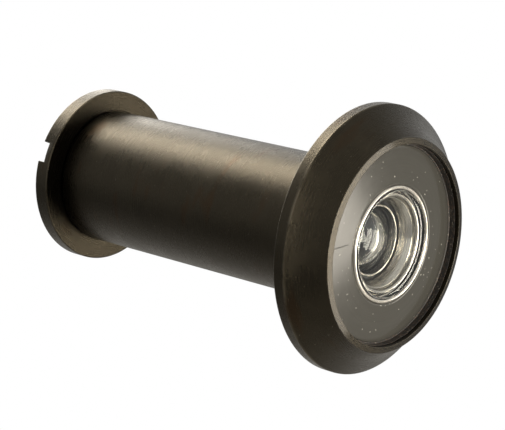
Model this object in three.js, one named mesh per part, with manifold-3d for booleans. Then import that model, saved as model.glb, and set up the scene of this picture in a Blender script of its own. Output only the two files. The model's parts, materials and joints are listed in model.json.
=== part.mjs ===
// A telescoping door viewer: an outer barrel with a bevelled head that carries the wide-angle lenses, and an inner
// barrel with a slotted flange that carries the eyepiece and screws into the outer one from behind the door.
//
// Frame: millimetres, +Z up. The optical axis is the Y axis. The origin is where that axis crosses the outer face of
// the door, so the head's seat is the plane y = 0, outdoors is towards -Y and indoors is towards +Y. The viewer is
// modelled screwed fully home, which is its setting for the thinnest door.
import * as THREE from "three";
import { mergeVertices } from "three/addons/utils/BufferGeometryUtils.js";
import Module from "manifold-3d";

const wasm = await Module();
wasm.setup();

// ---------------------------------------------------------------- driving dimensions
const BARREL_RADIUS = 7; // slides into a 14.3 mm (9/16 inch) hole
const THINNEST_DOOR = 35; // 1 3/8 inch
const SLIP = 0.1; // axial gap between stacked pieces
const CHAMFER = 0.15; // broken edge on turned metal

// the head
const HEAD_RADIUS = 13.2;
const HEAD_RIM = 1.2; // height of the cylindrical rim
const HEAD_HEIGHT = 4.27;
const LIP_OUTER = 10.45; // the narrow ring at the front of the bevel
const LIP_INNER = 9.8;
const LIP_FALL = 0.13; // the lip falls away outwards by this much
const LENS_SEAT = 2.1; // the lens pocket's floor stands this far in front of the door
const BEVEL_BULGE = 0.12; // the bevel is slightly convex
const CELL_BORE = 5.75;
const CELL_BORE_END = 7.2;
const THREAD_BORE = 5.9;

// the wide-angle lens stack, numbered from outdoors
const FRONT_LENS_RADIUS = 9.56;
const FRONT_LENS_BEVEL = 0.1;
const FRONT_LENS_EDGE = 3.19; // front edge of the large lens, in front of the door
const FRONT_LENS_CONE = THREE.MathUtils.degToRad(4); // its front face rises inwards at this angle
const FRONT_LENS_DOME = 0.05;
const FRONT_LENS_BACK = 2.45;
const FRONT_LENS_STEP = 6; // radius of the recess in its back
const FRONT_LENS_ROOF = 2.95; // floor of that recess
const GROOVE_OUTER = 5.78; // groove for the bezel ring
const GROOVE_INNER = 5.3;
const GROOVE_FLOOR = 3.2;
const GASKET_INNER = 6.1;
const GASKET_GAP = 0.05;
const SEAL_GAP = 0.03;
const SEAL_LEAN = 0.1; // the seal stands up against the head's wall
const BEZEL_OUTER = 5.76;
const BEZEL_INNER = 5.32;
const BEZEL_CREST = 3.58;
const BEZEL_LIFT = 0.02; // stands clear of the groove's floor
const CELL_RADIUS = 5.65;
const CELL_STEP = 2.3; // the cell's rim, in front of the door
const CELL_RIM_RISE = 0.15;
const NECK_OUTER = 4.95;
const NECK_INNER = 4.5;
const NECK_CREST = 2.8;
const FUNNEL_OUTER = 4.45;
const FUNNEL_FRONT = 2.3;
const FUNNEL_END_RADIUS = 3.8;
const FUNNEL_END = 1.05;
const FUNNEL_BACK = 0.95;
const FUNNEL_RIM = 0.08; // width of its front edge
const FUNNEL_HOLLOW = 0.1; // how far its inner face sweeps outwards
const CELL_LEDGE = 0.9;
const STACK_RADIUS = 4.1; // pieces stacked inside the cell
const GLARE_RING = { inner: 3.55, front: -0.85, back: -0.3 };
const DOME_BEZEL = { inner: 3.3, outer: 3.5, front: -1.15, back: -0.3 };
const SECOND_LENS = { shoulder: -0.25, back: 0.95, hollow: 2.9, hollowSag: 1.5 };
const DOME_RADIUS = 3.2; // bulging front of the second lens
const DOME_SAG = 1.4;
const SPACER = { inner: 3, front: 1.05, back: 1.95 };
const THIRD_LENS = { front: 2.05, back: 3.5, hollow: 2.9, hollowSag: 0.9 };
const STOP = { inner: 1.9, innerBack: 2.1, front: 3.6, back: 3.9 };
const CELL_END = 4.9;
const RETAINER = { bore: 3.3, front: 4, back: 6.6, slotWidth: 0.9, slotDepth: 0.7, slotInner: 4.4, play: 0.05 };

// the inner barrel and the eyepiece
const INNER_FRONT = 9; // where the inner barrel starts when it is screwed home
const SHANK_RADIUS = 5.3; // at the root of its thread
const THREAD_RADIUS = 5.75; // at the crest
const THREAD_PITCH = 1; // right-handed: 22 turns open the viewer from 35 to 57 mm
const THREAD_START = 9.9;
const THREAD_END = 30.4; // the neck is plain from here to the flange
const SHANK_BORE = 4.2;
const EYEPIECE_BORE = 4.7;
const EYEPIECE_SHOULDER = 31;
const HOUSING_START = 30; // the housing overlaps the threaded tube, which it joins
const HOUSING_TAPER = { wall: 0.1, from: 31.3, to: 31.8 };
const EYEPIECE_RADIUS = 4.6;
const EYEPIECE_SEAT = { inner: 3.7, front: 31.1, innerBack: 31.5, back: 31.65 };
const EYEPIECE_LENS = { front: 31.75, frontSag: 0.55, back: 33, backSag: 0.9 };
const EYEPIECE_RING = { inner: 3.7, mouth: 4.1, front: 33.45, back: 34.7, slotWidth: 0.8, slotDepth: 0.6 };
const BAFFLE = { front: 9.5, wall: 0.6, bore: 3.6, hole: 2.3 };
const FLANGE_RADIUS = 9.16;
const FLANGE_THICKNESS = 1.7;
const EYECUP_RADIUS = 6.4;
const EYECUP_DEPTH = 1.4;
const RELIEF_RADIUS = 7.1; // shallow relief that clears the end of the outer barrel
const RELIEF_DEPTH = 0.1;
const COIN_SLOT_WIDTH = 2.1;
const COIN_SLOT_DEPTH = 0.9;
const COIN_SLOT_INNER = 7.1; // the slots reach inwards to this radius
const COIN_SLOT_TURN = THREE.MathUtils.degToRad(26); // angle of the slots above the horizontal

const COARSE = 32; // sides of the small inner pieces
const FINE = 48; // sides of the barrels and of the large lens
const THREAD_STEPS = 20; // sides of the threaded tube

// ---------------------------------------------------------------- materials
const finish = (color, roughness, metalness, extra = {}) =>
  new THREE.MeshStandardMaterial({ color, roughness, metalness, ...extra });
const BRONZE = finish(0x2e2920, 0.42, 0.9);
const NICKEL = finish(0xd8d2c4, 0.2, 1);
const BLACK = finish(0x121210, 0.6, 0);
const RUBBER = finish(0x0d0d0c, 0.85, 0);
const GLASS = finish(0xf2f4f2, 0.03, 0, { transparent: true, opacity: 0.35 });

// ---------------------------------------------------------------- shapes
const at = (radius, y) => new THREE.Vector2(radius, y);

// Points of a spherical surface from its edge to the axis. The surface rises from edgeY by sag at the axis.
function cap(edgeRadius, edgeY, sag, steps) {
  const ball = (edgeRadius ** 2 + sag ** 2) / (2 * Math.abs(sag));
  return Array.from({ length: steps + 1 }, (_, i) => {
    const radius = edgeRadius * (1 - i / steps);
    const height = Math.sqrt(ball ** 2 - radius ** 2) - (ball - Math.abs(sag));
    return at(radius, edgeY + Math.sign(sag) * height);
  });
}

// Points of a half-round crest that faces outdoors, from its outer side to its inner side.
function crest(outer, inner, frontY, steps) {
  const half = (outer - inner) / 2;
  return Array.from({ length: steps + 1 }, (_, i) => {
    const angle = (Math.PI * i) / steps;
    return at((outer + inner) / 2 + half * Math.cos(angle), frontY + half - half * Math.sin(angle));
  });
}

// The section of a plain ring.
const ring = (inner, outer, front, back) => [at(inner, front), at(outer, front), at(outer, back), at(inner, back)];

// A closed body of revolution about Y. The outline runs once round the section. On a solid piece it may end on the
// axis.
function turned(outline, sides) {
  const doubledArea = outline.reduce((sum, p, i) => {
    const q = outline[(i + 1) % outline.length];
    return sum + p.x * q.y - q.x * p.y;
  }, 0);
  const points = doubledArea > 0 ? [...outline] : [...outline].reverse();
  const onAxis = points.findIndex((p, i) => p.x === 0 && points[(i + 1) % points.length].x === 0);
  if (onAxis >= 0) points.push(...points.splice(0, onAxis + 1)); // the axis itself is not a surface
  else points.push(points[0]);
  const lathe = new THREE.LatheGeometry(points, sides);
  lathe.deleteAttribute("normal");
  lathe.deleteAttribute("uv");
  const merged = mergeVertices(lathe, 1e-4);
  const corners = merged.index.array;
  const kept = [];
  for (let i = 0; i < corners.length; i += 3) {
    const [a, b, c] = corners.slice(i, i + 3);
    if (a !== b && b !== c && c !== a) kept.push(a, b, c);
  }
  return merged.setIndex(kept);
}

function solidOf(geometry) {
  const bare = geometry.clone();
  bare.deleteAttribute("normal");
  bare.deleteAttribute("uv");
  const merged = mergeVertices(bare, 1e-4);
  return new wasm.Manifold(
    new wasm.Mesh({
      numProp: 3,
      vertProperties: new Float32Array(merged.attributes.position.array),
      triVerts: new Uint32Array(merged.index.array),
    }),
  );
}

function geometryOf(solid) {
  const mesh = solid.getMesh();
  return new THREE.BufferGeometry()
    .setAttribute("position", new THREE.BufferAttribute(new Float32Array(mesh.vertProperties), 3))
    .setIndex([...mesh.triVerts]);
}

// A tube about Y with a right-handed thread on its outside. Its rows stand a quarter of a pitch apart, and each
// vertex is raised by where it lies in the thread's phase. The thread rises and falls over its end turns.
function threadedTube({ bore, root, crest: top, pitch, start, threadStart, threadEnd, end }) {
  const rows = Math.round((4 * (threadEnd - threadStart)) / pitch);
  const outline = [at(bore, start), at(root - 0.3, start), at(root, start + 0.3)];
  for (let row = 0; row <= rows; row++) outline.push(at(root, threadStart + (row * pitch) / 4));
  outline.push(at(root, end), at(bore, end));
  const tube = turned(outline, THREAD_STEPS);
  const points = tube.attributes.position;
  for (let i = 0; i < points.count; i++) {
    const [x, y, z] = [points.getX(i), points.getY(i), points.getZ(i)];
    const turn = (y - threadStart) / pitch;
    const turnsLeft = (threadEnd - y) / pitch;
    if (turn <= 0 || turnsLeft <= 0 || Math.hypot(x, z) < (bore + root) / 2) continue;
    const angle = Math.atan2(-z, x);
    const phase = turn - angle / (2 * Math.PI);
    const ridge = 1 - 2 * Math.abs(phase - Math.floor(phase) - 0.5); // 1 on the crest, 0 at the root
    const radius = root + (top - root) * ridge * Math.min(1, turn, turnsLeft);
    points.setXYZ(i, radius * Math.cos(angle), y, -radius * Math.sin(angle));
  }
  return tube;
}

// Cuts two opposite radial slots into the back face of a turned piece.
function slotted(geometry, { backY, depth, width, inner, outer, turn }) {
  const over = 1; // the cutter runs this far past the piece
  let solid = solidOf(geometry);
  for (const side of [0, Math.PI]) {
    const cutter = new THREE.BoxGeometry(outer - inner + over, depth + over, width);
    cutter.translate((outer + inner + over) / 2, backY - depth + (depth + over) / 2, 0);
    cutter.rotateY(turn + side);
    solid = solid.subtract(solidOf(cutter));
  }
  return geometryOf(solid);
}

function piece(name, geometry, material) {
  const mesh = new THREE.Mesh(geometry, material);
  mesh.name = name;
  return mesh;
}

// ---------------------------------------------------------------- outer barrel and its lens stack
function outerBarrel() {
  const bevelSteps = 4;
  const bevel = Array.from({ length: bevelSteps + 1 }, (_, i) => {
    const t = i / bevelSteps;
    const bulge = BEVEL_BULGE * Math.sin(Math.PI * t);
    return at(
      THREE.MathUtils.lerp(LIP_OUTER, HEAD_RADIUS, t) + bulge,
      THREE.MathUtils.lerp(LIP_FALL - HEAD_HEIGHT, -HEAD_RIM, t) - bulge,
    );
  });
  const end = THINNEST_DOOR - SLIP;
  const outline = [
    at(LIP_INNER, -LENS_SEAT),
    at(LIP_INNER, -HEAD_HEIGHT + CHAMFER),
    at(LIP_INNER + CHAMFER, -HEAD_HEIGHT),
    ...bevel,
    at(HEAD_RADIUS, -CHAMFER),
    at(HEAD_RADIUS - CHAMFER, 0),
    at(BARREL_RADIUS, 0),
    at(BARREL_RADIUS, end - CHAMFER),
    at(BARREL_RADIUS - CHAMFER, end),
    at(THREAD_BORE + CHAMFER, end),
    at(THREAD_BORE, end - CHAMFER),
    at(THREAD_BORE, CELL_BORE_END),
    at(CELL_BORE, CELL_BORE_END),
    at(CELL_BORE, -LENS_SEAT),
  ];
  return piece("outer_barrel", turned(outline, FINE), BRONZE);
}

// The front face is a shallow cone round a nearly flat middle, with a groove for the bezel ring between them.
function frontLens() {
  const bevel = FRONT_LENS_BEVEL;
  const backY = -FRONT_LENS_BACK;
  const face = (radius) => -FRONT_LENS_EDGE - (FRONT_LENS_RADIUS - radius) * Math.tan(FRONT_LENS_CONE);
  const outline = [
    at(FRONT_LENS_RADIUS - bevel, backY),
    at(FRONT_LENS_RADIUS, backY - bevel),
    at(FRONT_LENS_RADIUS, -FRONT_LENS_EDGE + bevel),
    at(FRONT_LENS_RADIUS - bevel, -FRONT_LENS_EDGE),
    at(GROOVE_OUTER, face(GROOVE_OUTER)),
    at(GROOVE_OUTER, -GROOVE_FLOOR),
    at(GROOVE_INNER, -GROOVE_FLOOR),
    ...cap(GROOVE_INNER, face(GROOVE_INNER), -FRONT_LENS_DOME, 2),
    at(0, -FRONT_LENS_ROOF),
    at(FRONT_LENS_STEP, -FRONT_LENS_ROOF),
    at(FRONT_LENS_STEP, backY),
  ];
  return piece("front_lens", turned(outline, FINE), GLASS);
}

function frontLensGasket() {
  const front = -FRONT_LENS_BACK + GASKET_GAP;
  const outline = ring(GASKET_INNER, LIP_INNER - 2 * GASKET_GAP, front, -LENS_SEAT - GASKET_GAP);
  return piece("front_lens_gasket", turned(outline, FINE), RUBBER);
}

function frontLensSeal() {
  const [inner, outer] = [FRONT_LENS_RADIUS + SEAL_GAP, LIP_INNER - SEAL_GAP];
  const front = -FRONT_LENS_EDGE;
  const outline = [
    at(inner, -FRONT_LENS_BACK),
    at(outer, -FRONT_LENS_BACK),
    at(outer, front - SEAL_LEAN),
    at(inner, front),
  ];
  return piece("front_lens_seal", turned(outline, FINE), RUBBER);
}

function bezelRing() {
  const foot = -GROOVE_FLOOR - BEZEL_LIFT;
  const outline = [
    at(BEZEL_INNER, foot),
    at(BEZEL_OUTER, foot),
    ...crest(BEZEL_OUTER, BEZEL_INNER, -BEZEL_CREST, 4),
  ];
  return piece("objective_bezel_ring", turned(outline, FINE), NICKEL);
}

// The bright cup that the front lens looks into. Its neck holds the funnel ring, and the small pieces stack in its
// bore.
function objectiveCell() {
  const outline = [
    at(CELL_RADIUS, CELL_END),
    at(STACK_RADIUS + SLIP, CELL_END),
    at(STACK_RADIUS + SLIP, -CELL_LEDGE),
    at(NECK_INNER, -CELL_LEDGE),
    ...crest(NECK_OUTER, NECK_INNER, -NECK_CREST, 4).reverse(),
    at(NECK_OUTER, -CELL_STEP),
    ...crest(CELL_RADIUS, NECK_OUTER + SLIP, -CELL_STEP - CELL_RIM_RISE, 4).reverse(),
  ];
  return piece("objective_cell", turned(outline, COARSE), NICKEL);
}

// A bright ring that stands on the ledge in the cell's neck and narrows towards the second lens.
function funnelRing() {
  const steps = 4;
  const flare = Array.from({ length: steps + 1 }, (_, i) => {
    const t = i / steps;
    const hollow = FUNNEL_HOLLOW * Math.sin(Math.PI * t);
    return at(
      THREE.MathUtils.lerp(FUNNEL_OUTER - FUNNEL_RIM, FUNNEL_END_RADIUS, t) + hollow,
      THREE.MathUtils.lerp(-FUNNEL_FRONT, -FUNNEL_END, t),
    );
  });
  const outline = [
    at(FUNNEL_OUTER, -FUNNEL_BACK),
    at(FUNNEL_OUTER, -FUNNEL_FRONT),
    ...flare,
    at(FUNNEL_END_RADIUS, -FUNNEL_BACK),
  ];
  return piece("funnel_ring", turned(outline, COARSE), NICKEL);
}

function glareRing() {
  const { inner, front, back } = GLARE_RING;
  return piece("glare_ring", turned(ring(inner, STACK_RADIUS, front, back), COARSE), BLACK);
}

function secondLensBezel() {
  const { inner, outer, front, back } = DOME_BEZEL;
  const outline = [at(inner, back), at(outer, back), ...crest(outer, inner, front, 4)];
  return piece("second_lens_bezel", turned(outline, COARSE), NICKEL);
}

function secondLens() {
  const { shoulder, back, hollow, hollowSag } = SECOND_LENS;
  const outline = [
    at(STACK_RADIUS, back),
    at(STACK_RADIUS, shoulder),
    ...cap(DOME_RADIUS, shoulder, -DOME_SAG, 6),
    ...cap(hollow, back, -hollowSag, 6).reverse(),
  ];
  return piece("second_lens", turned(outline, COARSE), GLASS);
}

function lensSpacer() {
  const { inner, front, back } = SPACER;
  return piece("lens_spacer_ring", turned(ring(inner, STACK_RADIUS, front, back), COARSE), BLACK);
}

function thirdLens() {
  const { front, back, hollow, hollowSag } = THIRD_LENS;
  const outline = [
    at(STACK_RADIUS, back),
    at(STACK_RADIUS, front),
    ...cap(hollow, front, hollowSag, 5),
    at(0, back),
  ];
  return piece("third_lens", turned(outline, COARSE), GLASS);
}

function apertureStop() {
  const { inner, innerBack, front, back } = STOP;
  const outline = [at(inner, front), at(STACK_RADIUS, front), at(STACK_RADIUS, back), at(innerBack, back)];
  return piece("aperture_stop", turned(outline, COARSE), BLACK);
}

// Screws in behind the cell and clamps the whole stack. Its boss reaches into the cell.
function objectiveRetainingRing() {
  const { bore, front, back, slotWidth, slotDepth, slotInner, play } = RETAINER;
  const outline = [
    at(bore, front),
    at(STACK_RADIUS - play, front),
    at(STACK_RADIUS - play, CELL_END + SLIP),
    at(CELL_RADIUS, CELL_END + SLIP),
    at(CELL_RADIUS, back),
    at(bore, back),
  ];
  const slots = { backY: back, depth: slotDepth, width: slotWidth, inner: slotInner, outer: CELL_RADIUS, turn: 0 };
  return piece("objective_retaining_ring", slotted(turned(outline, COARSE), slots), BRONZE);
}

// ---------------------------------------------------------------- inner barrel and eyepiece
function innerBarrel() {
  const back = THINNEST_DOOR + FLANGE_THICKNESS;
  const tube = threadedTube({
    bore: SHANK_BORE,
    root: SHANK_RADIUS,
    crest: THREAD_RADIUS,
    pitch: THREAD_PITCH,
    start: INNER_FRONT,
    threadStart: THREAD_START,
    threadEnd: THREAD_END,
    end: EYEPIECE_SHOULDER - SLIP, // ends inside the eyepiece housing
  });
  const { wall, from, to } = HOUSING_TAPER;
  const housing = [
    at(SHANK_BORE, HOUSING_START),
    at(SHANK_RADIUS - wall, HOUSING_START),
    at(SHANK_RADIUS - wall, from),
    at(THREAD_RADIUS, to),
    at(THREAD_RADIUS, THINNEST_DOOR + RELIEF_DEPTH),
    at(RELIEF_RADIUS, THINNEST_DOOR + RELIEF_DEPTH),
    at(RELIEF_RADIUS, THINNEST_DOOR),
    at(FLANGE_RADIUS - CHAMFER, THINNEST_DOOR),
    at(FLANGE_RADIUS, THINNEST_DOOR + CHAMFER),
    at(FLANGE_RADIUS, back - CHAMFER),
    at(FLANGE_RADIUS - CHAMFER, back),
    at(EYECUP_RADIUS, back),
    at(EYEPIECE_BORE, back - EYECUP_DEPTH),
    at(EYEPIECE_BORE, EYEPIECE_SHOULDER),
    at(SHANK_BORE, EYEPIECE_SHOULDER),
  ];
  const slots = {
    backY: back,
    depth: COIN_SLOT_DEPTH,
    width: COIN_SLOT_WIDTH,
    inner: COIN_SLOT_INNER,
    outer: FLANGE_RADIUS,
    turn: COIN_SLOT_TURN,
  };
  const whole = solidOf(turned(housing, FINE)).add(solidOf(tube));
  return piece("inner_barrel", slotted(geometryOf(whole), slots), BRONZE);
}

// A blackened tube with a pierced front wall, which keeps stray light off the eyepiece.
function baffleTube() {
  const { front, wall, bore, hole } = BAFFLE;
  const end = EYEPIECE_SHOULDER - SLIP;
  const outline = [
    at(hole, front),
    at(SHANK_BORE - SLIP, front),
    at(SHANK_BORE - SLIP, end),
    at(bore, end),
    at(bore, front + wall),
    at(hole, front + wall),
  ];
  return piece("baffle_tube", turned(outline, COARSE), BLACK);
}

function eyepieceSeatRing() {
  const { inner, front, innerBack, back } = EYEPIECE_SEAT;
  const outline = [at(inner, front), at(EYEPIECE_RADIUS, front), at(EYEPIECE_RADIUS, back), at(inner, innerBack)];
  return piece("eyepiece_seat_ring", turned(outline, COARSE), BLACK);
}

function eyepieceLens() {
  const { front, frontSag, back, backSag } = EYEPIECE_LENS;
  const outline = [
    at(EYEPIECE_RADIUS, back),
    at(EYEPIECE_RADIUS, front),
    ...cap(EYEPIECE_RADIUS, front, -frontSag, 5).slice(1),
    ...cap(EYEPIECE_RADIUS, back, backSag, 5).reverse().slice(0, -1),
  ];
  return piece("eyepiece_lens", turned(outline, COARSE), GLASS);
}

function eyepieceRetainingRing() {
  const { inner, mouth, front, back, slotWidth, slotDepth } = EYEPIECE_RING;
  const outline = [
    at(inner, front),
    at(EYEPIECE_RADIUS, front),
    at(EYEPIECE_RADIUS, back),
    at(mouth, back),
    at(inner, back - slotDepth),
  ];
  const slots = { backY: back, depth: slotDepth, width: slotWidth, inner: 3.9, outer: EYEPIECE_RADIUS, turn: 0.5 };
  return piece("eyepiece_retaining_ring", slotted(turned(outline, COARSE), slots), BLACK);
}

// ---------------------------------------------------------------- assembly
const outerAssembly = new THREE.Group();
outerAssembly.add(
  outerBarrel(),
  frontLens(),
  frontLensGasket(),
  frontLensSeal(),
  bezelRing(),
  objectiveCell(),
  funnelRing(),
  glareRing(),
  secondLensBezel(),
  secondLens(),
  lensSpacer(),
  thirdLens(),
  apertureStop(),
  objectiveRetainingRing(),
);

const innerAssembly = new THREE.Group();
innerAssembly.add(innerBarrel(), baffleTube(), eyepieceSeatRing(), eyepieceLens(), eyepieceRetainingRing());

const doorViewer = new THREE.Group();
doorViewer.add(outerAssembly, innerAssembly);

export default doorViewer;
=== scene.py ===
"""A telescoping door viewer in oil-rubbed bronze: the fine surfaces, materials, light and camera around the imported
CAD frame. Metres, +Z up. The optical axis is Y and outdoors is towards -Y, as in the frame."""

import json
import math

import bmesh
import bpy
from mathutils import Matrix, Vector


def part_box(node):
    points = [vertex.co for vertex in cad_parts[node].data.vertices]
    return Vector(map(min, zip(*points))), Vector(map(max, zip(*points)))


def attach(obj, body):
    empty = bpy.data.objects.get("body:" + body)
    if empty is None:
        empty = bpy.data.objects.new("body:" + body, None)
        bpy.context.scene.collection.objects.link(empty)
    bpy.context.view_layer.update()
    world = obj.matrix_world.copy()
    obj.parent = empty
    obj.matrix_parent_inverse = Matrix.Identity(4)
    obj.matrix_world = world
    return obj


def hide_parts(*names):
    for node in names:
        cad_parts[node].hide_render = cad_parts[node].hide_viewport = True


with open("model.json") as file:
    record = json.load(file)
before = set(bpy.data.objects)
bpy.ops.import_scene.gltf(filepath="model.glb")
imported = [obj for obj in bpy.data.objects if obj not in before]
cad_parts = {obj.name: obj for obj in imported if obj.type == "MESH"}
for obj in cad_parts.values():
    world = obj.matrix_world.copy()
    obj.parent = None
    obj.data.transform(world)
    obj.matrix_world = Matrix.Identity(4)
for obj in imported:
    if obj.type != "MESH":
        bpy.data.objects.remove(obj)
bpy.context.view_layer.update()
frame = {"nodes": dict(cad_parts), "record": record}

MM = 0.001
TAU = 2 * math.pi

# ---------------------------------------------------------------- places, from the frame and in metres


def span(node):
    """Outer radius, front and back of a CAD node that is round about the axis."""
    low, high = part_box(node)
    return high.x, low.y, high.y


HEAD_RADIUS, HEAD_FRONT, BARREL_END = span("outer_barrel")
LENS_RADIUS, _, LENS_BACK = span("front_lens")
BACKING_OUTER, BACKING_FRONT, BACKING_BACK = span("front_lens_gasket")
SEAL_OUTER, SEAL_FRONT, SEAL_BACK = span("front_lens_seal")
BEZEL_OUTER, BEZEL_FRONT, BEZEL_BACK = span("objective_bezel_ring")
CELL_OUTER, CELL_FRONT, CELL_BACK = span("objective_cell")
FUNNEL_OUTER, FUNNEL_FRONT, FUNNEL_BACK = span("funnel_ring")
GLARE_OUTER, GLARE_FRONT, GLARE_BACK = span("glare_ring")
DOME_RING_OUTER, DOME_RING_FRONT, DOME_RING_BACK = span("second_lens_bezel")
DOME_LENS_OUTER, DOME_LENS_FRONT, DOME_LENS_BACK = span("second_lens")
SPACER_OUTER, SPACER_FRONT, SPACER_BACK = span("lens_spacer_ring")
THIRD_OUTER, THIRD_FRONT, THIRD_BACK = span("third_lens")
STOP_OUTER, STOP_FRONT, STOP_BACK = span("aperture_stop")
FLANGE_RADIUS, SHANK_FRONT, FLANGE_BACK = span("inner_barrel")
BAFFLE_OUTER, BAFFLE_FRONT, BAFFLE_BACK = span("baffle_tube")
SEAT_OUTER, SEAT_FRONT, SEAT_BACK = span("eyepiece_seat_ring")
EYE_OUTER, EYE_FRONT, EYE_BACK = span("eyepiece_lens")
EYE_RING_OUTER, EYE_RING_FRONT, EYE_RING_BACK = span("eyepiece_retaining_ring")

BARREL_RADIUS = 7 * MM
CELL_BORE = 5.75 * MM
CELL_BORE_END = 7.2 * MM
THREAD_BORE = 5.9 * MM
LIP_INNER = 9.8 * MM
LIP_OUTER = 10.45 * MM
LIP_FALL = 0.13 * MM  # the lip falls away outwards by this much
HEAD_RIM = 1.2 * MM  # height of the cylindrical rim
LENS_SEAT = 2.1 * MM  # the pocket's floor in front of the door
BEVEL_BULGE = 0.12 * MM
LENS_EDGE = -3.19 * MM
LENS_CONE = math.radians(4)
LENS_STEP = 6.0 * MM
LENS_ROOF = -2.95 * MM
LENS_DOME = 0.05 * MM
GROOVE_OUTER = 5.78 * MM
GROOVE_INNER = 5.3 * MM
GROOVE_FLOOR = -3.2 * MM
LENS_BEVEL = 0.1 * MM
LENS_EDGE_ROUND = 0.08 * MM
LENS_ROOF_HOLLOW = 0.06 * MM
BACKING_INNER = 6.1 * MM
BEZEL_INNER = 5.32 * MM
SEAL_GAP = 0.02 * MM  # between the seal and the front glass
SEAL_CLIMB = 0.5 * MM  # how far the seal's black, speckled bead runs on up the wall above the seal
NECK_OUTER = 4.95 * MM
NECK_INNER = 4.5 * MM
CELL_LEDGE = -0.9 * MM
CELL_STEP = -2.3 * MM
CELL_RIM_RISE = 0.15 * MM
CELL_RIM_INSET = 0.1 * MM
FUNNEL_END_RADIUS = 3.8 * MM
FUNNEL_RIM = 0.08 * MM
FUNNEL_HOLLOW = 0.1 * MM
FUNNEL_LAND = 0.1 * MM  # short straight part at the end of the flare
GLARE_INNER = 3.55 * MM
STACK_BORE = 4.2 * MM
DOME_RADIUS = 3.2 * MM
DOME_SAG = 1.4 * MM
DOME_RING_INNER = 3.3 * MM
DOME_HOLLOW = 2.9 * MM
DOME_HOLLOW_SAG = 1.5 * MM
SPACER_INNER = 3 * MM
THIRD_HOLLOW = 2.9 * MM
THIRD_HOLLOW_SAG = 0.9 * MM
STOP_INNER = 2 * MM
FLANGE_FRONT = FLANGE_BACK - 1.7 * MM
SHANK_BORE = 4.2 * MM
SHANK_RADIUS = 5.3 * MM
THREAD_RADIUS = 5.75 * MM
THREAD_PITCH = 1 * MM
THREAD_START = 9.9 * MM
THREAD_END = 30.4 * MM
EYEPIECE_BORE = 4.7 * MM
EYEPIECE_SHOULDER = 31 * MM
EYECUP_RADIUS = 6.4 * MM
EYECUP_DEPTH = 1.4 * MM
RELIEF_RADIUS = 7.1 * MM  # shallow relief that clears the end of the outer barrel
RELIEF_DEPTH = 0.1 * MM
HOUSING_START = 30 * MM
THREAD_OVERLAP = 0.9 * MM  # the threaded piece runs on this far inside the housing
HOUSING_WALL = 0.1 * MM  # the housing is thinner than the threaded shank by this much, up to its taper
HOUSING_TAPER = (31.3 * MM, 31.8 * MM)
BAFFLE_HOLE = 2.3 * MM
BAFFLE_BORE = 3.6 * MM
BAFFLE_WALL = 0.6 * MM
SEAT_INNER = 3.7 * MM
EYE_SHOULDERS = (31.75 * MM, 33 * MM)  # where the eyepiece lens's two curved faces start
EYE_RING_INNER = 3.7 * MM
EYE_RING_MOUTH = 4.1 * MM
EYE_RING_FLARE = 0.6 * MM
EYE_SLOT_DEPTH = 0.6 * MM
EYE_SLOT_WIDTH = 0.8 * MM
EYE_SLOT_INNER = 3.9 * MM
EYE_SLOT_TURN = 0.5
COIN_SLOT_WIDTH = 2.1 * MM
COIN_SLOT_DEPTH = 0.9 * MM
COIN_SLOT_INNER = 7.1 * MM
COIN_SLOT_TURN = math.radians(26)

FINE = 256  # columns round the large pieces
MIDDLE = 192  # round the flange
SMALL = 160  # round the small inner pieces
THREAD_COLUMNS = 144
THREAD_ROWS = 14  # rows of points in each turn of the thread
NEARLY = 1e-9  # anything shorter counts as nothing

BRONZE_DARK = (0.026, 0.0222, 0.0156)
BRONZE_LIGHT = (0.038, 0.0322, 0.0227)
WORN_EDGES = (
    (HEAD_RADIUS, 0),
    (HEAD_RADIUS, -HEAD_RIM),
    (FLANGE_RADIUS, FLANGE_FRONT),
    (FLANGE_RADIUS, FLANGE_BACK),
    (EYECUP_RADIUS, FLANGE_BACK),
)
BRONZE_STAIN = (0.036, 0.021, 0.011)
BRONZE_SPECK = (0.14, 0.125, 0.10)
BRONZE_WORN = (0.09, 0.078, 0.058)
BRONZE_METAL = 1.0
LIP_COAT = 0.3
LIP_COAT_ROUGH = 0.12
LIP_FRONT = (-4.16, -4.02)  # mm; the lip's gloss fades out between these places along the axis
BRONZE_ROUGH = 0.28
GRAIN = 0.6
GLASS_IOR = 1.5
GLASS_TINT = (0.97, 0.98, 0.97)
GLASS_BLOOM = 0.13
BLOOM_SPREAD = 0.012
SCRATCH_HEIGHT = 1.45  # mm above the axis
SCRATCH_START = -6.5  # mm along X
SCRATCH_END = 8.5  # mm from the axis

# ---------------------------------------------------------------- outlines


def bulged(start, end, bulge, steps):
    """Points from start to end on a shallow arc that stands out by bulge to the right of that direction."""
    run = Vector(end) - Vector(start)
    side = Vector((run.y, -run.x)).normalized()
    return [
        tuple(Vector(start) + run * i / steps + side * bulge * math.sin(math.pi * i / steps))
        for i in range(steps + 1)
    ]


def rounded(corners, fillet, segments=5):
    """The closed outline through these corners, each rounded. A corner may give its own radius as a third value."""
    made = []
    count = len(corners)
    for i, corner in enumerate(corners):
        here = Vector(corner[:2])
        radius = corner[2] if len(corner) > 2 else fillet
        before = Vector(corners[i - 1][:2]) - here
        after = Vector(corners[(i + 1) % count][:2]) - here
        if here.x < NEARLY or radius <= 0 or min(before.length, after.length) < NEARLY:
            made.append(tuple(here))
            continue
        turn = before.angle(after)
        if turn > math.radians(174):
            made.append(tuple(here))
            continue
        reach = min(radius / math.tan(turn / 2), 0.45 * before.length, 0.45 * after.length)
        first = here + before.normalized() * reach
        last = here + after.normalized() * reach
        hold = 0.05 * reach
        made.append(tuple(first + before.normalized() * hold))
        for k in range(segments + 1):
            t = k / segments
            made.append(tuple(first * (1 - t) ** 2 + here * 2 * t * (1 - t) + last * t**2))
        made.append(tuple(last + after.normalized() * hold))
    return made


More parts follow.
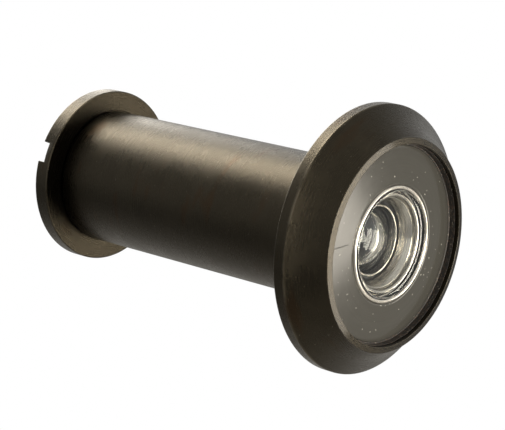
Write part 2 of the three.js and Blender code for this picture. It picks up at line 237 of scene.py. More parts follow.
def cap(edge_radius, edge_y, sag, steps):
    """Points of a spherical surface from its edge to the axis, rising by sag at the axis."""
    ball = (edge_radius**2 + sag**2) / (2 * abs(sag))
    points = []
    for i in range(steps + 1):
        radius = edge_radius * (1 - i / steps)
        height = math.sqrt(ball**2 - radius**2) - (ball - abs(sag))
        points.append((radius, edge_y + math.copysign(height, sag)))
    return points


def crest(outer, inner, front_y, steps):
    """Points of a half-round crest that faces outdoors, from its outer side to its inner side."""
    half = (outer - inner) / 2
    middle = (outer + inner) / 2
    angles = [math.pi * i / steps for i in range(steps + 1)]
    return [(middle + half * math.cos(angle), front_y + half - half * math.sin(angle)) for angle in angles]


# ---------------------------------------------------------------- meshes


def object_of(name, points, faces, material):
    mesh = bpy.data.meshes.new(name)
    mesh.from_pydata([tuple(p) for p in points], [], faces)
    made = bmesh.new()
    made.from_mesh(mesh)
    bmesh.ops.remove_doubles(made, verts=made.verts, dist=1e-8)
    bmesh.ops.recalc_face_normals(made, faces=made.faces)
    made.to_mesh(mesh)
    made.free()
    mesh.shade_smooth()
    mesh.materials.append(material)
    piece = bpy.data.objects.new(name, mesh)
    bpy.context.scene.collection.objects.link(piece)
    return piece


def turned(name, outline, material, columns=FINE):
    """A closed piece turned about the Y axis from a closed outline of (radius, y) points."""
    points, faces, rows = [], [], len(outline)
    for radius, y in outline:
        if radius < NEARLY:
            points += [(0, y, 0)] * columns
        else:
            angles = [TAU * j / columns for j in range(columns)]
            points += [(radius * math.cos(angle), y, radius * math.sin(angle)) for angle in angles]
    for i in range(rows):
        k = (i + 1) % rows
        if max(outline[i][0], outline[k][0]) < NEARLY:
            continue
        for j in range(columns):
            n = (j + 1) % columns
            faces.append((i * columns + j, i * columns + n, k * columns + n, k * columns + j))
    mesh_faces = []
    for face in faces:
        corners = [points[v] for v in face]
        if corners[0] == corners[1]:
            mesh_faces.append(face[1:])
        elif corners[2] == corners[3]:
            mesh_faces.append(face[:3])
        else:
            mesh_faces.append(face)
    return object_of(name, points, mesh_faces, material)


# ---------------------------------------------------------------- materials


def new_material(name):
    material = bpy.data.materials.new(name)
    material.use_nodes = True
    nodes = material.node_tree.nodes
    return material, nodes, material.node_tree.links, nodes["Principled BSDF"]


def coordinates(nodes, links):
    """Object coordinates in millimetres: the place, its x, y and z, and the radius from the axis."""
    texture = nodes.new("ShaderNodeTexCoord")
    scaled = nodes.new("ShaderNodeVectorMath")
    scaled.operation = "SCALE"
    scaled.inputs["Scale"].default_value = 1 / MM
    links.new(texture.outputs["Object"], scaled.inputs[0])
    split = nodes.new("ShaderNodeSeparateXYZ")
    links.new(scaled.outputs[0], split.inputs[0])
    flat = nodes.new("ShaderNodeVectorMath")
    flat.operation = "MULTIPLY"
    flat.inputs[1].default_value = (1, 0, 1)
    links.new(scaled.outputs[0], flat.inputs[0])
    radius = nodes.new("ShaderNodeVectorMath")
    radius.operation = "LENGTH"
    links.new(flat.outputs[0], radius.inputs[0])
    return scaled.outputs[0], split.outputs, radius.outputs["Value"]


def maths(nodes, links, operation, *values):
    node = nodes.new("ShaderNodeMath")
    node.operation = operation
    for socket, value in zip(node.inputs, values):
        if isinstance(value, (int, float)):
            socket.default_value = value
        else:
            links.new(value, socket)
    return node.outputs[0]


def stretch(nodes, links, value, low, high, to_low=0.0, to_high=1.0):
    """Maps low..high smoothly to to_low..to_high, and holds the ends."""
    node = nodes.new("ShaderNodeMapRange")
    node.interpolation_type = "SMOOTHSTEP"
    links.new(value, node.inputs["Value"])
    for socket, number in (("From Min", low), ("From Max", high), ("To Min", to_low), ("To Max", to_high)):
        node.inputs[socket].default_value = number
    return node.outputs["Result"]


def noise(nodes, links, vector, scale, detail=3, roughness=0.5):
    node = nodes.new("ShaderNodeTexNoise")
    node.inputs["Scale"].default_value = scale
    node.inputs["Detail"].default_value = detail
    node.inputs["Roughness"].default_value = roughness
    links.new(vector, node.inputs["Vector"])
    return node.outputs["Fac"]


def round_noise(nodes, links, parts, along, around, detail=3, roughness=0.6):
    """Noise drawn out round the axis: along sets its scale per millimetre of radius and length, around per radian."""
    _, axes, radius = parts
    flat = joined(nodes, links, axes["X"], 0.0, axes["Z"])
    unit = nodes.new("ShaderNodeVectorMath")
    unit.operation = "NORMALIZE"
    links.new(flat, unit.inputs[0])
    split = nodes.new("ShaderNodeSeparateXYZ")
    links.new(unit.outputs[0], split.inputs[0])
    node = nodes.new("ShaderNodeTexNoise")
    node.noise_dimensions = "4D"
    node.inputs["Scale"].default_value = 1
    node.inputs["Detail"].default_value = detail
    node.inputs["Roughness"].default_value = roughness
    vector = joined(nodes, links, maths(nodes, links, "MULTIPLY", split.outputs["X"], around),
                    maths(nodes, links, "MULTIPLY", axes["Y"], along),
                    maths(nodes, links, "MULTIPLY", split.outputs["Z"], around))
    links.new(vector, node.inputs["Vector"])
    links.new(maths(nodes, links, "MULTIPLY", radius, along), node.inputs["W"])
    return node.outputs["Fac"]


def joined(nodes, links, x, y, z):
    node = nodes.new("ShaderNodeCombineXYZ")
    for socket, value in zip(node.inputs, (x, y, z)):
        if isinstance(value, (int, float)):
            socket.default_value = value
        else:
            links.new(value, socket)
    return node.outputs[0]


def tinted(nodes, links, factor, first, second):
    """A mix of two colours; either may be a socket."""
    node = nodes.new("ShaderNodeMix")
    node.data_type = "RGBA"
    links.new(factor, node.inputs[0])
    for socket, colour in ((node.inputs[6], first), (node.inputs[7], second)):
        if isinstance(colour, tuple):
            socket.default_value = (*colour, 1)
        else:
            links.new(colour, socket)
    return node.outputs[2]


def bumped(nodes, links, shader, heights):
    """Bumps, each a (height, strength, distance in millimetres), one on another."""
    normal = None
    for height, strength, distance in heights:
        bump = nodes.new("ShaderNodeBump")
        bump.inputs["Strength"].default_value = strength
        bump.inputs["Distance"].default_value = distance * MM
        links.new(height, bump.inputs["Height"])
        if normal is not None:
            links.new(normal, bump.inputs["Normal"])
        normal = bump.outputs[0]
    links.new(normal, shader.inputs["Normal"])


def edge_wear(nodes, links, radius, length, cloud):
    """How rubbed the finish is: up to 1 on the turned edges of the head and the flange, uneven along them."""
    nearest = 1.0
    for edge_radius, edge_y in WORN_EDGES:
        across = maths(nodes, links, "SUBTRACT", radius, edge_radius / MM)
        along = maths(nodes, links, "SUBTRACT", length, edge_y / MM)
        squares = [maths(nodes, links, "MULTIPLY", side, side) for side in (across, along)]
        apart = maths(nodes, links, "SQRT", maths(nodes, links, "ADD", *squares))
        nearest = maths(nodes, links, "MINIMUM", apart, nearest)
    rubbed = stretch(nodes, links, nearest, 0.04, 0.2, 0.8, 0.0)
    return maths(nodes, links, "MULTIPLY", rubbed, stretch(nodes, links, cloud, 0.35, 0.65, 0.25, 1.0))


def bronze():
    """Oil-rubbed bronze: a dark, finely blasted finish with turning marks, worn edges, brown stains and specks."""
    material, nodes, links, shader = new_material("oil_rubbed_bronze")
    parts = coordinates(nodes, links)
    place, axes, radius = parts
    cloud = noise(nodes, links, place, 0.35, 4, 0.6)
    grain = noise(nodes, links, place, 7.5, 4, 0.7)
    marks = round_noise(nodes, links, parts, 9.0, 1.4)
    arcs = round_noise(nodes, links, parts, 0.55, 1.3, 2, 0.5)
    specks = noise(nodes, links, place, 5.2, 1, 0.3)
    dark = tinted(nodes, links, cloud, BRONZE_DARK, BRONZE_LIGHT)
    stained = tinted(nodes, links, stretch(nodes, links, arcs, 0.58, 0.72, 0.0, 0.55), dark, BRONZE_STAIN)
    speckled = tinted(nodes, links, stretch(nodes, links, specks, 0.78, 0.84), stained, BRONZE_SPECK)
    worn = tinted(nodes, links, edge_wear(nodes, links, radius, axes["Y"], cloud), speckled, BRONZE_WORN)
    links.new(worn, shader.inputs["Base Color"])
    shader.inputs["Metallic"].default_value = BRONZE_METAL
    front = stretch(nodes, links, axes["Y"], *LIP_FRONT, 1.0, 0.0)
    lip = maths(nodes, links, "MULTIPLY", front, stretch(nodes, links, radius, LIP_INNER / MM - 0.1, LIP_INNER / MM))
    links.new(maths(nodes, links, "MULTIPLY", lip, LIP_COAT), shader.inputs["Coat Weight"])
    shader.inputs["Coat Roughness"].default_value = LIP_COAT_ROUGH
    patchy = stretch(nodes, links, cloud, 0.3, 0.7, BRONZE_ROUGH - 0.03, BRONZE_ROUGH + 0.04)
    streaky = stretch(nodes, links, marks, 0.3, 0.7, -0.03, 0.03)
    links.new(maths(nodes, links, "ADD", patchy, streaky), shader.inputs["Roughness"])
    bumped(nodes, links, shader, [(grain, GRAIN, 0.05), (marks, 0.35, 0.014)])
    return material


def nickel():
    """Bright nickel with fine turning lines and a slight yellowing."""
    material, nodes, links, shader = new_material("bright_nickel")
    parts = coordinates(nodes, links)
    lines = round_noise(nodes, links, parts, 14.0, 0.8, 2, 0.5)
    film = noise(nodes, links, parts[0], 0.8, 3, 0.5)
    bright = tinted(nodes, links, film, (0.66, 0.62, 0.54), (0.76, 0.73, 0.67))
    dull = tinted(nodes, links, stretch(nodes, links, lines, 0.45, 0.7, 0.0, 0.55), bright, (0.20, 0.18, 0.15))
    links.new(dull, shader.inputs["Base Color"])
    shader.inputs["Metallic"].default_value = 1
    links.new(stretch(nodes, links, lines, 0.3, 0.7, 0.12, 0.28), shader.inputs["Roughness"])
    bumped(nodes, links, shader, [(lines, 0.35, 0.012)])
    return material


def black():
    """Black moulded plastic, faintly turned and dusty."""
    material, nodes, links, shader = new_material("blackened_plastic")
    parts = coordinates(nodes, links)
    turning = round_noise(nodes, links, parts, 8.0, 1.1)
    dust = noise(nodes, links, parts[0], 4.5, 2, 0.5)
    dull = tinted(nodes, links, turning, (0.012, 0.0115, 0.010), (0.026, 0.025, 0.022))
    dusty = tinted(nodes, links, stretch(nodes, links, dust, 0.68, 0.76, 0.0, 0.7), dull, (0.09, 0.085, 0.075))
    links.new(dusty, shader.inputs["Base Color"])
    links.new(stretch(nodes, links, turning, 0.3, 0.7, 0.42, 0.58), shader.inputs["Roughness"])
    bumped(nodes, links, shader, [(turning, 0.3, 0.01), (dust, 0.3, 0.02)])
    return material


def rubber():
    """The sealing bead: black, with brown grit and pale dust stuck in it."""
    material, nodes, links, shader = new_material("seal_rubber")
    place = coordinates(nodes, links)[0]
    grit = noise(nodes, links, place, 5.5, 2, 0.7)
    dust = noise(nodes, links, place, 9.0, 1, 0.4)
    dirty = tinted(nodes, links, stretch(nodes, links, grit, 0.5, 0.66), (0.008, 0.007, 0.006), (0.06, 0.035, 0.02))
    dusty = tinted(nodes, links, stretch(nodes, links, dust, 0.68, 0.74), dirty, (0.30, 0.27, 0.22))
    links.new(dusty, shader.inputs["Base Color"])
    shader.inputs["Roughness"].default_value = 0.6
    bumped(nodes, links, shader, [(grit, 0.6, 0.05)])
    return material


def satin():
    """The dark ring behind the front glass: turned, its grey varying along the turning marks that run round it."""
    material, nodes, links, shader = new_material("turned_satin")
    marks = round_noise(nodes, links, coordinates(nodes, links), 7.0, 1.2)
    grey = tinted(nodes, links, marks, (0.030, 0.030, 0.030), (0.055, 0.055, 0.053))
    links.new(grey, shader.inputs["Base Color"])
    shader.inputs["Roughness"].default_value = 0.5
    return material


def glass():
    """Polished lens glass, slightly hazed."""
    material, nodes, links, shader = new_material("lens_glass")
    shader.inputs["Base Color"].default_value = (*GLASS_TINT, 1)
    shader.inputs["Transmission Weight"].default_value = 1
    shader.inputs["IOR"].default_value = GLASS_IOR
    film = noise(nodes, links, coordinates(nodes, links)[0], 0.9, 3, 0.6)
    links.new(stretch(nodes, links, film, 0.35, 0.8, 0.0, 0.03), shader.inputs["Roughness"])
    return material


def front_glass():
    """The front glass: clear in the middle, and backed in dark grey on the cone round it, with dust and a scratch."""
    material, nodes, links, shader = new_material("front_lens_glass")
    parts = coordinates(nodes, links)
    place, axes, radius = parts
    backed = stretch(nodes, links, radius, GROOVE_OUTER / MM - 0.04, GROOVE_OUTER / MM)
    turning = round_noise(nodes, links, parts, 6.0, 1.5)
    grey = tinted(nodes, links, turning, (0.036, 0.0345, 0.030), (0.046, 0.0445, 0.039))
    dust = stretch(nodes, links, noise(nodes, links, place, 3.4, 1, 0.3), 0.76, 0.80, 0.0, 0.75)
    dusty = tinted(nodes, links, dust, grey, (0.34, 0.33, 0.29))
    links.new(tinted(nodes, links, backed, GLASS_TINT, dusty), shader.inputs["Base Color"])
    links.new(maths(nodes, links, "SUBTRACT", 1.0, backed), shader.inputs["Transmission Weight"])
    shader.inputs["IOR"].default_value = GLASS_IOR
    mist = noise(nodes, links, place, 1.3, 3, 0.6)
    bloom = stretch(nodes, links, mist, 0.3, 0.7, GLASS_BLOOM - BLOOM_SPREAD, GLASS_BLOOM + BLOOM_SPREAD)
    off_line = maths(nodes, links, "ABSOLUTE", maths(nodes, links, "SUBTRACT", axes["Z"], SCRATCH_HEIGHT))
    started = stretch(nodes, links, axes["X"], SCRATCH_START + 0.1, SCRATCH_START - 0.1)
    ended = stretch(nodes, links, radius, SCRATCH_END + 0.1, SCRATCH_END - 0.1)
    short = maths(nodes, links, "MULTIPLY", started, ended)
    scratch = maths(nodes, links, "MULTIPLY", stretch(nodes, links, off_line, 0.03, 0.08, 0.55, 0.0), short)
    hazed = maths(nodes, links, "ADD", maths(nodes, links, "ADD", bloom, scratch), dust)
    links.new(maths(nodes, links, "MULTIPLY", backed, hazed), shader.inputs["Roughness"])
    return material


BRONZE = bronze()
NICKEL = nickel()
BLACK = black()
RUBBER = rubber()
SATIN = satin()
GLASS = glass()
FRONT_GLASS = front_glass()

# ---------------------------------------------------------------- pieces


def placed(piece, body, slot, *nodes):
    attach(piece, body)
    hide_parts(*nodes)
    return piece


def outer_barrel():
    bevel = bulged((HEAD_RADIUS, -HEAD_RIM), (LIP_OUTER, HEAD_FRONT + LIP_FALL), BEVEL_BULGE, 12)
    corners = [
        (LIP_INNER, -LENS_SEAT, 0.05 * MM),
        (CELL_BORE, -LENS_SEAT, 0.05 * MM),
        (CELL_BORE, CELL_BORE_END, 0),
        (THREAD_BORE, CELL_BORE_END, 0),
        (THREAD_BORE, BARREL_END, 0.12 * MM),
        (BARREL_RADIUS, BARREL_END, 0.15 * MM),
        (BARREL_RADIUS, 0, 0.05 * MM),
        (HEAD_RADIUS, 0, 0.15 * MM),
        (*bevel[0], 0.12 * MM),
        *bevel[1:-1],
        (*bevel[-1], 0.12 * MM),
        (LIP_INNER, HEAD_FRONT, 0.06 * MM),
    ]
    barrel = turned("outer_barrel_turned", rounded(corners, 0), BRONZE)
    return placed(barrel, "outer_assembly", "bronze", "outer_barrel")


def front_lens():
    """The front glass. Its outer face is a shallow cone with a groove for the bezel ring, and its back is stepped."""
    rise = math.tan(LENS_CONE)
    groove_out = (GROOVE_OUTER, LENS_EDGE - (LENS_RADIUS - GROOVE_OUTER) * rise)
    groove_in = (GROOVE_INNER, LENS_EDGE - (LENS_RADIUS - GROOVE_INNER) * rise)
    outline = [
        (LENS_RADIUS - LENS_BEVEL, LENS_BACK),
        (LENS_RADIUS, LENS_BACK - LENS_BEVEL),
        (LENS_RADIUS, LENS_EDGE + LENS_EDGE_ROUND),
        (LENS_RADIUS - 0.03 * MM, LENS_EDGE + 0.02 * MM),
        *bulged((LENS_RADIUS - LENS_EDGE_ROUND, LENS_EDGE), groove_out, 0.0, 12),
        (GROOVE_OUTER, GROOVE_FLOOR),
        (GROOVE_INNER, GROOVE_FLOOR),
        *cap(*groove_in, -LENS_DOME, 24),
        *cap(LENS_STEP - LENS_BEVEL, LENS_ROOF, -LENS_ROOF_HOLLOW, 16)[::-1],
        (LENS_STEP, LENS_ROOF + LENS_BEVEL),
        (LENS_STEP, LENS_BACK - LENS_BEVEL),
        (LENS_STEP + LENS_BEVEL, LENS_BACK),
    ]
    return placed(turned("front_lens_glass", outline, FRONT_GLASS), "outer_assembly", "lens_glass", "front_lens")


def lens_backing():
    """The satin ring behind the front glass's outer part."""
    corners = [
        (BACKING_INNER, BACKING_BACK),
        (BACKING_OUTER, BACKING_BACK),
        (BACKING_OUTER, BACKING_FRONT),
        (BACKING_INNER, BACKING_FRONT),
    ]
    ring = turned("lens_backing_ring", rounded(corners, 0.05 * MM), SATIN)
    return placed(ring, "outer_assembly", "rubber", "front_lens_gasket")


def lens_seal():
    """The bead round the front glass, running on as a thin layer of the same black, speckled rubber up the wall above
    it.
    """
    inner = LENS_RADIUS + SEAL_GAP
    corners = [
        (inner, SEAL_BACK),
        (SEAL_OUTER, SEAL_BACK),
        (SEAL_OUTER, SEAL_FRONT - SEAL_CLIMB),
        (SEAL_OUTER - 0.04 * MM, SEAL_FRONT - SEAL_CLIMB),
        (SEAL_OUTER - 0.08 * MM, SEAL_FRONT + 0.1 * MM),
        (inner, SEAL_FRONT + 0.15 * MM),
    ]
    ring = turned("front_lens_seal_bead", rounded(corners, 0.02 * MM), RUBBER)
    return placed(ring, "outer_assembly", "rubber", "front_lens_seal")


def bezel_ring():
    outline = [
        (BEZEL_INNER, BEZEL_BACK),
        (BEZEL_OUTER, BEZEL_BACK),
        *crest(BEZEL_OUTER, BEZEL_INNER, BEZEL_FRONT, 16),
    ]
    ring = turned("objective_bezel_turned", outline, NICKEL)
    return placed(ring, "outer_assembly", "nickel", "objective_bezel_ring")


def objective_cell():
    """The bright cell. Its stepped neck stands up behind the front glass."""
    outline = [
        (CELL_OUTER, CELL_BACK),
        (STACK_BORE, CELL_BACK),
        (STACK_BORE, CELL_LEDGE),
        (NECK_INNER, CELL_LEDGE),
        *crest(NECK_OUTER, NECK_INNER, CELL_FRONT, 16)[::-1],
        (NECK_OUTER, CELL_STEP),
        *crest(CELL_OUTER, NECK_OUTER + CELL_RIM_INSET, CELL_STEP - CELL_RIM_RISE, 12)[::-1],
    ]
    cell = turned("objective_cell_turned", outline, NICKEL)
    return placed(cell, "outer_assembly", "nickel", "objective_cell")


def funnel_ring():
    mouth = (FUNNEL_OUTER - FUNNEL_RIM, FUNNEL_FRONT)
    end = (FUNNEL_END_RADIUS, FUNNEL_BACK - FUNNEL_LAND)
    outline = [
        (FUNNEL_OUTER, FUNNEL_BACK),
        (FUNNEL_OUTER, FUNNEL_FRONT),
        *bulged(mouth, end, -FUNNEL_HOLLOW, 16),
        (FUNNEL_END_RADIUS, FUNNEL_BACK),
    ]
    ring = turned("funnel_ring_turned", outline, NICKEL)
    return placed(ring, "outer_assembly", "nickel", "funnel_ring")


def plain_ring(name, node, inner, outer, front, back, body="outer_assembly"):
    """A black ring of plain section."""
    corners = [(inner, back), (outer, back), (outer, front), (inner, front)]
    ring = turned(name, rounded(corners, 0.06 * MM), BLACK, SMALL)
    return placed(ring, body, "black_plastic", node)


def dome_ring():
    corners = [
        (DOME_RING_INNER, DOME_RING_BACK),
        (DOME_RING_OUTER, DOME_RING_BACK),
        (DOME_RING_OUTER, DOME_RING_FRONT),
        (DOME_RING_INNER, DOME_RING_FRONT),
    ]
    ring = turned("second_lens_bezel_turned", rounded(corners, 0.08 * MM), NICKEL, SMALL)
    return placed(ring, "outer_assembly", "nickel", "second_lens_bezel")


def second_lens():
    shoulder = DOME_LENS_FRONT + DOME_SAG
    outline = [
        (DOME_LENS_OUTER, DOME_LENS_BACK),
        (DOME_LENS_OUTER, shoulder),
        *cap(DOME_RADIUS, shoulder, -DOME_SAG, 40),
        *cap(DOME_HOLLOW, DOME_LENS_BACK, -DOME_HOLLOW_SAG, 30)[::-1],
    ]
    lens = turned("second_lens_glass", outline, GLASS, SMALL)
    return placed(lens, "outer_assembly", "lens_glass", "second_lens")


def third_lens():
    outline = [
        (THIRD_OUTER, THIRD_BACK),
        (THIRD_OUTER, THIRD_FRONT),
        *cap(THIRD_HOLLOW, THIRD_FRONT, THIRD_HOLLOW_SAG, 24),
        (0, THIRD_BACK),
    ]
    lens = turned("third_lens_glass", outline, GLASS, SMALL)
    return placed(lens, "outer_assembly", "lens_glass", "third_lens")


def applied(piece):
    """Makes a piece's modifiers part of its mesh."""
    ready = piece.evaluated_get(bpy.context.evaluated_depsgraph_get())
    mesh = bpy.data.meshes.new_from_object(ready)
    piece.modifiers.clear()
    piece.data = mesh
    return piece


def slots_cut(piece, back, depth, width, inner, outer, turn, soften):
    """Cuts two opposite radial slots into a piece's back face, and softens every edge they leave."""
    over = 1 * MM
    for side in (0, math.pi):
        bpy.ops.mesh.primitive_cube_add(size=1)
        cutter = bpy.context.object
        cutter.scale = (outer - inner + over, depth + over, width)
        middle = Vector(((outer + inner + over) / 2, back - depth + (depth + over) / 2, 0))
        spin = Matrix.Rotation(turn + side, 4, "Y")
        cutter.matrix_world = spin @ Matrix.Translation(middle) @ Matrix.Diagonal((*cutter.scale, 1))
        cut = piece.modifiers.new("slot", "BOOLEAN")
        cut.operation, cut.solver, cut.object = "DIFFERENCE", "EXACT", cutter
        bpy.context.view_layer.update()
        applied(piece)
        bpy.data.objects.remove(cutter)
    bevel = piece.modifiers.new("soften", "BEVEL")
    bevel.width, bevel.segments, bevel.limit_method, bevel.angle_limit = soften, 2, "ANGLE", math.radians(40)
    applied(piece)
    piece.data.shade_smooth()
    piece.data.set_sharp_from_angle(angle=math.radians(35))
    return piece


def inner_flange():
    """The inner barrel's eyepiece housing and its flange with the two slots for a coin."""
    corners = [
        (SHANK_BORE, HOUSING_START, 0),
        (SHANK_RADIUS - HOUSING_WALL, HOUSING_START, 0),
        (SHANK_RADIUS - HOUSING_WALL, HOUSING_TAPER[0], 0),
        (THREAD_RADIUS, HOUSING_TAPER[1]),
        (THREAD_RADIUS, FLANGE_FRONT + RELIEF_DEPTH, 0.03 * MM),
        (RELIEF_RADIUS, FLANGE_FRONT + RELIEF_DEPTH, 0.03 * MM),
        (RELIEF_RADIUS, FLANGE_FRONT, 0.03 * MM),
        (FLANGE_RADIUS, FLANGE_FRONT),
        (FLANGE_RADIUS, FLANGE_BACK),
        (EYECUP_RADIUS, FLANGE_BACK),
        (EYEPIECE_BORE, FLANGE_BACK - EYECUP_DEPTH),
        (EYEPIECE_BORE, EYEPIECE_SHOULDER, 0.05 * MM),
        (SHANK_BORE, EYEPIECE_SHOULDER, 0.05 * MM),
    ]
    piece = turned("inner_barrel_flange", rounded(corners, 0.15 * MM), BRONZE, MIDDLE)
    reach = (COIN_SLOT_INNER, FLANGE_RADIUS)
    slots_cut(piece, FLANGE_BACK, COIN_SLOT_DEPTH, COIN_SLOT_WIDTH, *reach, COIN_SLOT_TURN, 0.06 * MM)
    return placed(piece, "inner_barrel", "bronze", "inner_barrel")


def inner_thread():
    """The threaded shank, which shows when the viewer is set for a thick door."""
    rows = round(THREAD_ROWS * (THREAD_END - THREAD_START) / THREAD_PITCH)
    start, end = SHANK_FRONT, HOUSING_START + THREAD_OVERLAP
    outline = [(SHANK_BORE, start), (SHANK_RADIUS - 0.3 * MM, start), (SHANK_RADIUS, start + 0.3 * MM)]
    outline += [(SHANK_RADIUS, THREAD_START + row * THREAD_PITCH / THREAD_ROWS) for row in range(rows + 1)]
    outline += [(SHANK_RADIUS, end), (SHANK_BORE, end)]
    piece = turned("inner_barrel_thread", outline, BRONZE, THREAD_COLUMNS)
    for vertex in piece.data.vertices:
        x, y, z = vertex.co
        turn, left = (y - THREAD_START) / THREAD_PITCH, (THREAD_END - y) / THREAD_PITCH
        if turn <= 0 or left <= 0 or math.hypot(x, z) < (SHANK_BORE + SHANK_RADIUS) / 2:
            continue
        phase = (turn - math.atan2(-z, x) / TAU) % 1
        ridge = min(1, max(0, 1.35 - 2.7 * abs(phase - 0.5)))  # a flat crest and a flat root
        ridge = ridge * ridge * (3 - 2 * ridge) * min(1, turn, left)
        radius = SHANK_RADIUS + (THREAD_RADIUS - SHANK_RADIUS) * ridge
        scale = radius / math.hypot(x, z)
        vertex.co = (x * scale, y, z * scale)
    piece.data.set_sharp_from_angle(angle=math.radians(50))
    return placed(piece, "inner_barrel", "bronze", "inner_barrel")


def baffle_tube():
    """The liner with a pierced front wall that keeps stray light off the eyepiece."""
    corners = [
        (BAFFLE_HOLE, BAFFLE_FRONT),
        (BAFFLE_OUTER, BAFFLE_FRONT),
        (BAFFLE_OUTER, BAFFLE_BACK),
        (BAFFLE_BORE, BAFFLE_BACK),
        (BAFFLE_BORE, BAFFLE_FRONT + BAFFLE_WALL),
        (BAFFLE_HOLE, BAFFLE_FRONT + BAFFLE_WALL),
    ]
    tube = turned("baffle_tube_moulded", rounded(corners, 0.08 * MM), BLACK, SMALL)
    return placed(tube, "eyepiece", "black_plastic", "baffle_tube")


def eyepiece_lens():
    front, back = EYE_SHOULDERS
    outline = [
        *cap(EYE_OUTER, front, -(front - EYE_FRONT), 24),
        *cap(EYE_OUTER, back, EYE_BACK - back, 24)[::-1],
    ]
    lens = turned("eyepiece_lens_glass", outline, GLASS, SMALL)
    return placed(lens, "eyepiece", "lens_glass", "eyepiece_lens")


def eyepiece_ring():
    corners = [
        (EYE_RING_INNER, EYE_RING_FRONT),
        (EYE_RING_OUTER, EYE_RING_FRONT),
        (EYE_RING_OUTER, EYE_RING_BACK),
        (EYE_RING_MOUTH, EYE_RING_BACK),
        (EYE_RING_INNER, EYE_RING_BACK - EYE_RING_FLARE),
    ]
    ring = turned("eyepiece_retaining_ring_turned", rounded(corners, 0.06 * MM), BLACK, SMALL)
    reach = (EYE_SLOT_INNER, EYE_RING_OUTER)
    slots_cut(ring, EYE_RING_BACK, EYE_SLOT_DEPTH, EYE_SLOT_WIDTH, *reach, EYE_SLOT_TURN, 0.03 * MM)
    return placed(ring, "inner_barrel", "black_plastic", "eyepiece_retaining_ring")


outer_barrel()
front_lens()
lens_backing()
lens_seal()
bezel_ring()
objective_cell()
funnel_ring()
plain_ring("glare_ring_moulded", "glare_ring", GLARE_INNER, GLARE_OUTER, GLARE_FRONT, GLARE_BACK)
dome_ring()
second_lens()
plain_ring("lens_spacer_moulded", "lens_spacer_ring", SPACER_INNER, SPACER_OUTER, SPACER_FRONT, SPACER_BACK)
third_lens()
plain_ring("aperture_stop_moulded", "aperture_stop", STOP_INNER, STOP_OUTER, STOP_FRONT, STOP_BACK)
inner_flange()
inner_thread()
baffle_tube()
plain_ring("eyepiece_seat_moulded", "eyepiece_seat_ring", SEAT_INNER, SEAT_OUTER, SEAT_FRONT, SEAT_BACK, "eyepiece")
eyepiece_lens()
eyepiece_ring()

SLOT_MATERIALS = {"bronze": BRONZE, "nickel": NICKEL, "lens_glass": GLASS, "black_plastic": BLACK, "rubber": RUBBER}
for entry in frame["record"]["subparts"]:
    node = frame["nodes"][entry["node"]]
    if not node.hide_render:
        node.data.materials.clear()
        node.data.materials.append(SLOT_MATERIALS[entry["material_slot"]])

# ---------------------------------------------------------------- studio

CAMERA_AZIMUTH = math.radians(-48.3)
CAMERA_ELEVATION = math.radians(16.15)
ORIGIN_IN_VIEW = Vector((10.634, -2.179, -178.344)) * MM  # the frame's origin, right, up and behind the lens plane
FOCAL_LENGTH = 132.24  # millimetres
SENSOR_WIDTH = 36  # millimetres
FLOOR_DROP = 400 * MM
WORLD = 0.75  # how bright the surroundings are in the viewer's own reflections
WORLD_TINT = (1, 0.985, 0.95, 1)
FLOOR_SHADE = 0.3
FLOOR_SIZE = 8  # metres
LIGHT_TINT = (1.0, 0.93, 0.81)

# Each softbox: its direction, the direction of its first size, its distance, its two sizes and its radiance.
SOFTBOXES = {
    "overhead": ((0.10, 0.4, 0.76), (1, 0, 0), 0.6, (0.18, 0.6), 18.5),
    "front": ((0.548, -0.809, -0.213), (0.362, 0, 0.932), 0.5, (0.34, 0.16), 9),
    "behind": ((0.35, 0.9, 0.25), (1, 0, 0), 0.6, (0.5, 0.4), 3.5),
    "ahead": ((0, -1, 0.01), (1, 0, 0), 0.5, (0.12, 0.2), 45),
}


def camera():
    sa, ca = math.sin(CAMERA_AZIMUTH), math.cos(CAMERA_AZIMUTH)
    se, ce = math.sin(CAMERA_ELEVATION), math.cos(CAMERA_ELEVATION)
    right = Vector((ca, sa, 0))
    up = Vector((-sa * se, ca * se, ce))
    back = Vector((sa * ce, -ca * ce, se))
    data = bpy.data.cameras.new("camera")
    data.lens = FOCAL_LENGTH
    data.sensor_width = SENSOR_WIDTH
    data.clip_start = 0.01
    made = bpy.data.objects.new("camera", data)
    bpy.context.scene.collection.objects.link(made)
    place = -(right * ORIGIN_IN_VIEW.x + up * ORIGIN_IN_VIEW.y + back * ORIGIN_IN_VIEW.z)
    turn = Matrix((right, up, back)).transposed().to_4x4()
    made.matrix_world = Matrix.Translation(place) @ turn
    bpy.context.scene.camera = made


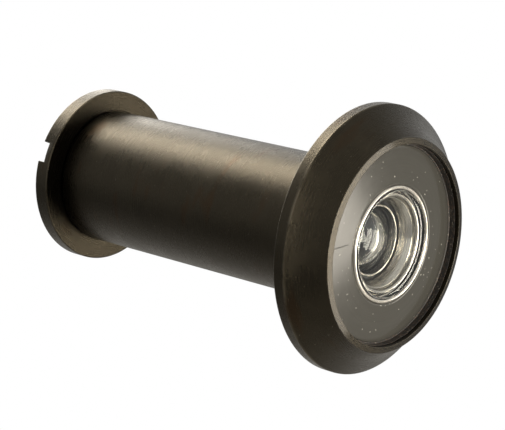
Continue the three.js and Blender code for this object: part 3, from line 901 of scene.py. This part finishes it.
def softbox(name, direction, across, distance, size, radiance):
    """A soft light in this direction that faces the viewer; across is the direction of the first of its two sizes."""
    data = bpy.data.lights.new(name, "AREA")
    data.shape = "RECTANGLE"
    data.size, data.size_y = size
    data.energy = radiance * math.pi * size[0] * size[1]
    data.color = LIGHT_TINT
    made = bpy.data.objects.new(name, data)
    bpy.context.scene.collection.objects.link(made)
    towards = Vector(direction).normalized()
    side = (Vector(across) - towards * towards.dot(Vector(across))).normalized()
    turn = Matrix((side, towards.cross(side), towards)).transposed().to_4x4()
    made.matrix_world = Matrix.Translation(towards * distance) @ turn


def seen_as(nodes, links, unseen, seen, output):
    """Shows one shader to the camera and another to everything that reflects or is lit by it."""
    path = nodes.new("ShaderNodeLightPath")
    either = nodes.new("ShaderNodeMixShader")
    links.new(path.outputs["Is Camera Ray"], either.inputs[0])
    links.new(unseen.outputs[0], either.inputs[1])
    links.new(seen.outputs[0], either.inputs[2])
    links.new(either.outputs[0], output.inputs["Surface"])


def studio():
    world = bpy.data.worlds.new("studio")
    bpy.context.scene.world = world
    world.use_nodes = True
    nodes, links = world.node_tree.nodes, world.node_tree.links
    nodes["Background"].inputs["Color"].default_value = WORLD_TINT
    nodes["Background"].inputs["Strength"].default_value = WORLD
    white = nodes.new("ShaderNodeBackground")
    white.inputs["Color"].default_value = (1, 1, 1, 1)
    seen_as(nodes, links, nodes["Background"], white, nodes["World Output"])
    material, nodes, links, shader = new_material("pale_floor")
    shader.inputs["Base Color"].default_value = (FLOOR_SHADE, FLOOR_SHADE, FLOOR_SHADE, 1)
    shader.inputs["Roughness"].default_value = 0.9
    seen_as(nodes, links, shader, nodes.new("ShaderNodeEmission"), nodes["Material Output"])
    bpy.ops.mesh.primitive_plane_add(size=FLOOR_SIZE, location=(0, 0, -FLOOR_DROP))
    floor = bpy.context.object
    floor.name = "floor"
    floor.data.materials.append(material)
    for name, settings in SOFTBOXES.items():
        softbox(name, *settings)
    bpy.context.scene.view_settings.view_transform = "Standard"


camera()
studio()
